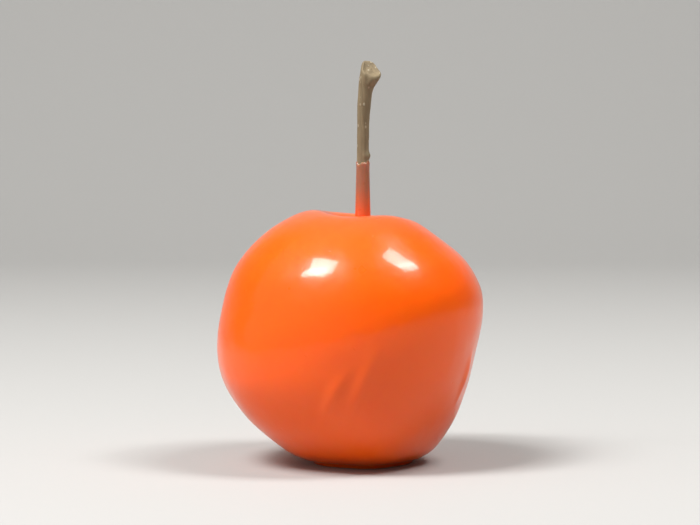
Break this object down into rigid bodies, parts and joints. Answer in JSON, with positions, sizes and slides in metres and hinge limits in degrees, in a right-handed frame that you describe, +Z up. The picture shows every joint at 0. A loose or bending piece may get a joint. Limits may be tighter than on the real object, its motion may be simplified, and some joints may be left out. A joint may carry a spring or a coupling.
{
  "type": "wax apple",
  "caption": "Small real apple dipped in glossy orange wax, with a long woody stalk that the wax climbs part way up and a dried calyx in its base.",
  "frame": {"origin": "on the surface the apple stands on, under the middle of its outline", "axes": "+Z up along the stalk, -Y to the front, +X towards the higher cheek and the hooked tip of the stalk"},
  "size_m": [0.0578, 0.0562, 0.087],
  "materials": {
    "wax": "glossy saturated orange wax over fruit, smooth with faint flow marks",
    "bark": "matt grey-olive dried stalk with lengthwise fibres",
    "sepal": "matt dark brown dried sepals, touched with wax"
  },
  "bodies": {
    "root": {"waxed_fruit": "wax", "stem": "bark", "calyx": "sepal"}
  },
  "joints": []
}
